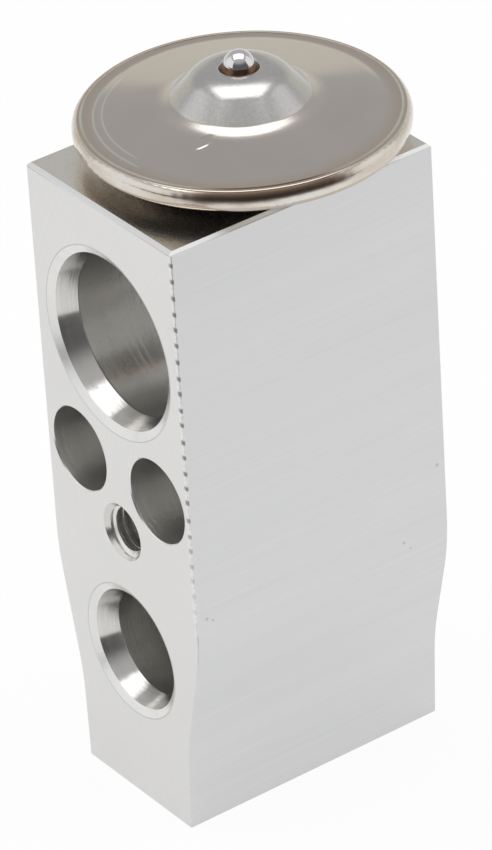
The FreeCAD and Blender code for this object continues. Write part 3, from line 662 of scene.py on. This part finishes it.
def combine(piece, cutter, operation="DIFFERENCE"):
    """Take a closed mesh away from another, or add it, and remove the second."""
    cut = piece.modifiers.new("cut", "BOOLEAN")
    cut.operation = operation
    cut.solver = "EXACT"
    cut.object = cutter
    bpy.ops.object.select_all(action="DESELECT")
    bpy.context.view_layer.objects.active = piece
    piece.select_set(True)
    bpy.ops.object.modifier_apply(modifier="cut")
    bpy.data.objects.remove(cutter)
    print(piece.name, "faces after", operation.lower() + ":", len(piece.data.polygons))


def bore(centre, corners, operation="DIFFERENCE"):
    """Turn a hole or a plug along the direction of the ports, from its (y, radius) corners in mm."""
    section = [(corners[0][0], 0)]
    section += [(y, radius + TOOL_GROWTH) for y, radius in corners]
    section += [(corners[-1][0], 0)]
    points = [(centre[0], y, centre[1] + radius) for y, radius in section]
    tool = drawn_section("boring_tool", points, closed=False)
    spin(tool, TOOL_STEPS, (centre[0] * MM, 0, centre[1] * MM), (0, 1, 0), TOOL_MERGE)
    bpy.ops.object.mode_set(mode="OBJECT")
    give_surfaces(tool)
    for face in tool.data.polygons:
        depth = min(face.center.y / MM - port_face_y, back_face_y - face.center.y / MM)
        surface = "lip" if depth < MOUTH_DEPTH / 2 else "turned" if depth < TURNED_DEPTH else "drilled"
        face.material_index = SURFACES.index(surface)
    combine(block, tool, operation)


# %% Helpers for the mouths of the ports
PLUG_START = 0.1
PLUG_END = 3.3
PLUG_MARGIN = 0.3
SEAT_DEPTH = 2.85
STEP_DEPTH = 0.12
RUN_OUT = 0.3
CONE_GROWTH = 0.04


def fill_mouth(face, inward, height, mouth):
    """Fill the mouth of a port, just under the block's face."""
    ends = sorted((face + inward * PLUG_START, face + inward * PLUG_END))
    bore((0, height), [(end, mouth + PLUG_MARGIN) for end in ends], "UNION")


def port_corners(face, inward, mouth, seat, seat_end, bore_radius):
    """The corners of a port from outside in: its cone, its tapering seat and the start of the bore."""
    flare = RUN_OUT * (mouth + CONE_GROWTH - seat) / MOUTH_DEPTH
    return [
        (face - inward * RUN_OUT, mouth + CONE_GROWTH + flare),
        (face + inward * MOUTH_DEPTH, seat),
        (face + inward * SEAT_DEPTH, seat_end),
        (face + inward * (SEAT_DEPTH + STEP_DEPTH), bore_radius),
    ]


# %% Cut the four ports again
SUCTION_RADII = (11.05, 10.16, 9.36, 9.36)
LIQUID_RADII = (7.9, 7.12, 6.32, 6.3)
LIQUID_DEPTH = 10.01

suction_height = mounts["suction_port_front"]["pos_m"][2] / MM
fill_mouth(port_face_y, 1, suction_height, SUCTION_RADII[0])
fill_mouth(back_face_y, -1, suction_height, SUCTION_RADII[0])
front_steps = port_corners(port_face_y, 1, *SUCTION_RADII)
back_steps = port_corners(back_face_y, -1, *SUCTION_RADII)
bore((0, suction_height), front_steps + back_steps[::-1])
for mount, face, inward in (("liquid_inlet", port_face_y, 1), ("liquid_outlet", back_face_y, -1)):
    height = mounts[mount]["pos_m"][2] / MM
    fill_mouth(face, inward, height, LIQUID_RADII[0])
    steps = port_corners(face, inward, *LIQUID_RADII)
    bore((0, height), steps + [(face + inward * LIQUID_DEPTH, LIQUID_RADII[3])])

# %% Cut the bolt holes and the stud hole again
BOLT_SIDE = 7.1
BOLT_RADIUS = 4.9
BOLT_CHAMFER = 0.12
STUD_MOUTH = 3.4
STUD_COUNTERSINK = 0.85
STUD_DRILL = 2.55
STUD_DEPTH = 11.51

bolt_height = mounts["bolt_holes"]["pos_m"][2] / MM
for side in (-BOLT_SIDE, BOLT_SIDE):
    bore((side, bolt_height), [
        (port_face_y - RUN_OUT, BOLT_RADIUS + BOLT_CHAMFER + RUN_OUT),
        (port_face_y + BOLT_CHAMFER, BOLT_RADIUS),
        (back_face_y - BOLT_CHAMFER, BOLT_RADIUS),
        (back_face_y + RUN_OUT, BOLT_RADIUS + BOLT_CHAMFER + RUN_OUT),
    ])
stud_height = mounts["stud_hole"]["pos_m"][2] / MM
bore((0, stud_height), [
    (port_face_y - RUN_OUT, STUD_MOUTH + RUN_OUT),
    (port_face_y + STUD_COUNTERSINK, STUD_DRILL),
    (port_face_y + STUD_DEPTH, STUD_DRILL),
])

# %% [markdown]
# The tapped hole for the pipe's stud gets a real thread, because its first turns show in its mouth. The
# cutter is one trapezoid swept by a Screw modifier. A bump could fake it on a flat wall, but not where
# the thread runs out through the countersink.

# %% Draw the section of the thread
THREAD_CREST = 2.4
THREAD_ROOT = 3.1
CREST_HALF_WIDTH = 0.44
ROOT_HALF_WIDTH = 0.07

bpy.ops.object.select_all(action="DESELECT")
bpy.ops.mesh.primitive_plane_add(size=1.0 * MM)
cutter = bpy.context.object
for vertex, (reach_mm, along_mm) in zip(cutter.data.vertices, (
    (THREAD_CREST, -CREST_HALF_WIDTH),
    (THREAD_ROOT, -ROOT_HALF_WIDTH),
    (THREAD_CREST, CREST_HALF_WIDTH),
    (THREAD_ROOT, ROOT_HALF_WIDTH),
)):
    vertex.co = (reach_mm * MM, 0, along_mm * MM)
edit(cutter)
bpy.ops.mesh.delete(type="ONLY_FACE")
bpy.ops.object.mode_set(mode="OBJECT")
print("thread depth in mm:", round(THREAD_ROOT - THREAD_CREST, 2))

# %% Sweep it and cut the thread of the stud hole
THREAD_PITCH = 1.0
THREAD_TURNS = 9
THREAD_STEPS = 32

helix = cutter.modifiers.new("helix", "SCREW")
helix.axis = "Z"
helix.angle = math.tau
helix.screw_offset = THREAD_PITCH * MM
helix.iterations = THREAD_TURNS
helix.steps = THREAD_STEPS
helix.render_steps = THREAD_STEPS
helix.use_merge_vertices = False
bpy.ops.object.modifier_apply(modifier="helix")
edit(cutter)
bpy.ops.mesh.fill_holes(sides=0)
bpy.ops.mesh.select_all(action="SELECT")
bpy.ops.mesh.normals_make_consistent(inside=False)
bpy.ops.object.mode_set(mode="OBJECT")
give_surfaces(cutter)
for face in cutter.data.polygons:
    face.material_index = SURFACES.index("drilled")
start = Vector((0, port_face_y - RUN_OUT, stud_height)) * MM
half_turn = Matrix.Rotation(math.pi, 4, "Z")
cutter.data.transform(Matrix.Translation(start) @ Matrix.Rotation(-math.pi / 2, 4, "X") @ half_turn)
combine(block, cutter)

# %% Smooth the block
edit(block)
smooth(block, BLOCK_SMOOTH_BELOW)
weighted = block.modifiers.new("weighted", "WEIGHTED_NORMAL")
weighted.keep_sharp = True
counts = {
    surface: sum(face.material_index == number for face in block.data.polygons)
    for number, surface in enumerate(SURFACES)
}
print("faces by finish:", counts)

# %% [markdown]
# ## The head
# The head is two stamped dishes welded at the rim, with a thin diaphragm between them. A stamped sheet
# has no hard corner anywhere, and polished steel shows every facet. So the upper dish is modelled again
# as a press tool would be turned: half of its section is drawn, each corner is rounded by its own
# amount, and the section is spun round the axis. Its sizes are those of the solid that it replaces,
# with rounder corners.

# %% A helper for pieces that are spun round the axis
SPIN_STEPS = 192
ROUND_SEGMENTS = 10
SPUN_SMOOTH_BELOW = 40


def spun(name, section, finish, body):
    """Spin a closed section of (radius, height, rounding) points in mm round the valve's axis."""
    piece = drawn_section(name, [(point[0], 0, point[1]) for point in section], closed=True)
    for point in section:
        if len(point) < 3:
            continue
        edit(piece)
        bpy.ops.mesh.select_all(action="DESELECT")
        bpy.ops.object.mode_set(mode="OBJECT")
        corner = Vector((point[0] * MM, 0, point[1] * MM))
        nearest = min(piece.data.vertices, key=lambda vertex: (vertex.co - corner).length)
        nearest.select = True
        bpy.ops.object.mode_set(mode="EDIT")
        bpy.ops.mesh.bevel(offset=point[2] * MM, segments=ROUND_SEGMENTS, affect="VERTICES")
        bpy.ops.object.mode_set(mode="OBJECT")
    spin(piece, SPIN_STEPS, (0, 0, 0), (0, 0, 1), MERGE_WITHIN)
    smooth(piece, SPUN_SMOOTH_BELOW)
    piece.data.materials.append(finishes[finish].material)
    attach(piece, body)
    return piece


# %% The upper dish
lid = spun("lid", [
    (1.2, 83.52),
    (1.2, 83.45),
    (3.95, 83.45),
    (8.1, 79.73),
    (15.1, 78.52),
    (15.4, 78.25),
    (17.6, 78.25),
    (17.6, 79.36, 0.1),
    (17.4, 79.45, 0.1),
    (15.85, 79.46, 0.3),
    (15.1, 79.62, 0.3),
    (8.9, 80.70, 0.2),
    (8.3, 80.86, 0.3),
    (7.5, 81.30, 0.12),
    (4.3, 84.75, 1.75),
    (2.3, 84.62, 0.1),
    (2.0, 84.32, 0.05),
], "steel", "valve_body")
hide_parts("head_lid")

# %% The lower cup and the ball
finished_copy("head_base", "cup", "steel", "valve_body")
finished_copy("charge_ball", "charge_hole_ball", "ball", "valve_body")

# %% [markdown]
# The weld beads are new: small rounded sections spun in the same way, wide enough to cover the joint,
# as the molten metal does. The bead at the rim bulges all round. The one round the small ball climbs its
# side; its dark colour is partly scorch and partly a painted reflection.

# %% The weld beads
spun("rim_weld", [
    (16.95, 76.93),
    (18.09, 76.93, 1.1),
    (18.09, 79.48, 1.1),
    (16.95, 79.48),
], "bead", "valve_body")
spun("ball_weld", [
    (1.25, 83.7),
    (2.08, 84.29),
    (1.93, 84.58, 0.15),
    (1.69, 85.05, 0.05),
    (1.5, 85.08),
], "scorch", "valve_body")

# %% [markdown]
# ## What shows through the ports
# Through the big port one sees the sensing rod, and from below the adjusting screw. They are smooth
# copies too, and so is the stop plate under the diaphragm. The pieces that nothing shows keep their
# solids and still get a proper finish, so that the valve can be taken apart.

# %% Copies of the pieces in the passages
finished_copy("sensing_rod", "rod_in_passage", "rod", "stem")
finished_copy("adjusting_screw", "bottom_screw", "rod", "adjuster")
finished_copy("diaphragm_plate", "stop_plate", "brass", "stem")

# %% [markdown]
# The coil spring is pressed from both ends: the stem pushes its top down, and the adjusting screw lifts
# its foot. One piece can stretch between two bodies only. So two halves are made that meet at the middle
# turn, each cut off there on the side of its own end.

# %% The two halves of the coil spring
spring_foot, spring_top = (corner[2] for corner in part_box("valve_spring"))
spring_middle = (spring_foot + spring_top) / 2
for name, body, end in (
    ("coil_spring_upper", "stem", spring_top),
    ("coil_spring_lower", "adjuster_carriage", spring_foot),
):
    half = finished_copy("valve_spring", name, "spring", None)
    edit(half)
    bpy.ops.mesh.bisect(
        plane_co=(0, 0, spring_middle), plane_no=(0, 0, 1), use_fill=True,
        clear_inner=end > spring_middle, clear_outer=end < spring_middle,
    )
    smooth(half)
    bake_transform(half)

# %% Finish the measured solids themselves
SOLIDS_BY_FINISH = {
    "extruded": ("valve_block",),
    "steel": ("head_lid", "head_base", "diaphragm"),
    "ball": ("charge_ball", "push_rod", "valve_ball"),
    "spring": ("valve_spring", "damping_spring", "seal_retainer"),
    "rod": ("sensing_rod", "adjusting_screw"),
    "brass": ("diaphragm_plate", "ball_carrier"),
    "rubber": ("head_gasket", "rod_seal", "adjuster_seal"),
}
for finish, nodes in SOLIDS_BY_FINISH.items():
    for node in nodes:
        for slot in frame["nodes"][node].material_slots:
            slot.material = finishes[finish].material
print("solids finished:", sum(len(nodes) for nodes in SOLIDS_BY_FINISH.values()))

# %% [markdown]
# ## Floor and light
# Metal shows its surroundings, so the room is the most important part of its look. A white floor
# lights the upright faces from below. To the left and right of the camera stand bright walls, the side
# behind the camera is dark, and one wide soft lamp hangs overhead. That is what puts three highlights on
# the small ball and a dark line along the rim. The floor is mixed towards plain white for what the
# camera and the reflections see, which keeps the page white without more light on the part. Towards the
# camera, though, reflections see the white end after some 17 cm, as at the end of a table, and that
# puts the darker parts into the seats of the ports. Lengths are in metres again.

# %% The floor
FLOOR_RADIUS = 1.6
FLOOR_CORNERS = 96
FLOOR_GLOW = 0.94
MIRRORED_GLOW = 0.7
CAMERA_HEADING = (0.819, -0.574)
TABLE_END = (0.15, 0.19)
PAPER = (0.93, 0.93, 0.93)

bpy.ops.object.select_all(action="DESELECT")
bpy.ops.mesh.primitive_circle_add(vertices=FLOOR_CORNERS, radius=FLOOR_RADIUS, fill_type="NGON")
floor = bpy.context.object
floor.name = "floor"
paper = Finish("paper", PAPER, 0.8, metallic=0.0)
camera_ray = paper.node("ShaderNodeLightPath", {}, {}, "Is Camera Ray")
glossy = paper.node("ShaderNodeLightPath", {}, {}, "Is Glossy Ray")
through = paper.node("ShaderNodeLightPath", {}, {}, "Is Transmission Ray")
towards_camera = paper.axis("X") * CAMERA_HEADING[0] + paper.axis("Y") * CAMERA_HEADING[1]
table_end = towards_camera.step(*TABLE_END) * glossy
paper.set("Base Color", paper.mix(table_end, rgb(*PAPER), rgb(0.12, 0.12, 0.12)))
mirrored = (glossy - table_end) * MIRRORED_GLOW
seen = camera_ray.maths("MAXIMUM", camera_ray.maths("MAXIMUM", camera_ray * FLOOR_GLOW, mirrored), through)
white = paper.node("ShaderNodeEmission", {}, {"Color": rgb(1, 1, 1), "Strength": 1.0})
clear = paper.node("ShaderNodeBsdfTransparent", {}, {})
paper_shader = Wire(paper, paper.shader.outputs[0])
lit = paper.node("ShaderNodeMixShader", {}, {0: seen, 1: paper_shader, 2: white})
from_below = paper.node("ShaderNodeNewGeometry", {}, {}, "Backfacing")
one_sided = paper.node("ShaderNodeMixShader", {}, {0: from_below, 1: lit, 2: clear})
paper.connect(paper.tree.nodes["Material Output"].inputs["Surface"], one_sided)
floor.data.materials.append(paper.material)
print("floor radius in m:", FLOOR_RADIUS)

# %% The room
LEFT_PANEL = ((-122, -114), (-52, -42))
RIGHT_PANEL = ((60, 70), (112, 120))

world = bpy.data.worlds.new("room")
bpy.context.scene.world = world
world.use_nodes = True


class Room(Finish):
    """The same node helpers on the world's tree."""

    def __init__(self, tree):
        self.tree = tree


room = Room(world.node_tree)
gaze = room.node("ShaderNodeTexCoord", {}, {}, "Generated")
east = room.node("ShaderNodeSeparateXYZ", {}, {"Vector": gaze}, "X")
north = room.node("ShaderNodeSeparateXYZ", {}, {"Vector": gaze}, "Y")
height_of_gaze = room.node("ShaderNodeSeparateXYZ", {}, {"Vector": gaze}, "Z")
turn = room.node("ShaderNodeMath", {"operation": "ARCTAN2"}, {
    0: north * CAMERA_HEADING[0] - east * CAMERA_HEADING[1],
    1: east * CAMERA_HEADING[0] + north * CAMERA_HEADING[1],
}) * (180 / math.pi)


def between(begin, end):
    """1 between two soft edges, each given as two angles from the camera's heading in degrees."""
    return turn.step(*begin) * (1 - turn.step(*end))


left_panel = between(*LEFT_PANEL)
right_panel = between(*RIGHT_PANEL)
near_side = between(LEFT_PANEL[1], RIGHT_PANEL[0])
far_side = 1 - left_panel - right_panel - near_side

# %% How bright each side of the room is
FAR_WALL = 0.78
FAR_FADE = (0.29, 0.33)
PANEL = 1.0
PANEL_FADE = (0.66, 0.76)
DARK_SIDE = 0.13
DARK_FADE = (0.30, 0.80)
CEILING = 0.56
WARM_WHITE = rgb(1.0, 0.98, 0.90)


def wall(brightness, fade):
    """The brightness of a wall, which turns into the ceiling's between two heights of gaze."""
    return brightness + height_of_gaze.step(*fade) * (CEILING - brightness)


level = far_side * wall(FAR_WALL, FAR_FADE)
level = level + (left_panel + right_panel) * wall(PANEL, PANEL_FADE)
level = level + near_side * wall(DARK_SIDE, DARK_FADE)
far_tint = far_side * (1 - height_of_gaze.step(*FAR_FADE))
room_camera_ray = room.node("ShaderNodeLightPath", {}, {}, "Is Camera Ray")
background = world.node_tree.nodes["Background"]
room.connect(background.inputs["Strength"], level + room_camera_ray * (1 - level))
tint = room.mix(far_tint * (1 - room_camera_ray), rgb(1, 1, 1), WARM_WHITE)
room.connect(background.inputs["Color"], tint)
print("nodes of the room:", len(world.node_tree.nodes))

# %% The lamp
LAMP_PLACE = (-0.02, 0.015, 1.0)
LAMP_SIZE = (1.1, 0.72)
LAMP_POWER = 4.6
LAMP_HEADING = 55

lamp = bpy.data.lights.new("overhead", "AREA")
lamp.shape = "RECTANGLE"
lamp.size, lamp.size_y = LAMP_SIZE
lamp.energy = LAMP_POWER
holder = bpy.data.objects.new("overhead", lamp)
holder.location = LAMP_PLACE
holder.rotation_euler = (0, 0, math.radians(LAMP_HEADING))
bpy.context.scene.collection.objects.link(holder)
print("lamp above the table in m:", LAMP_PLACE[2])
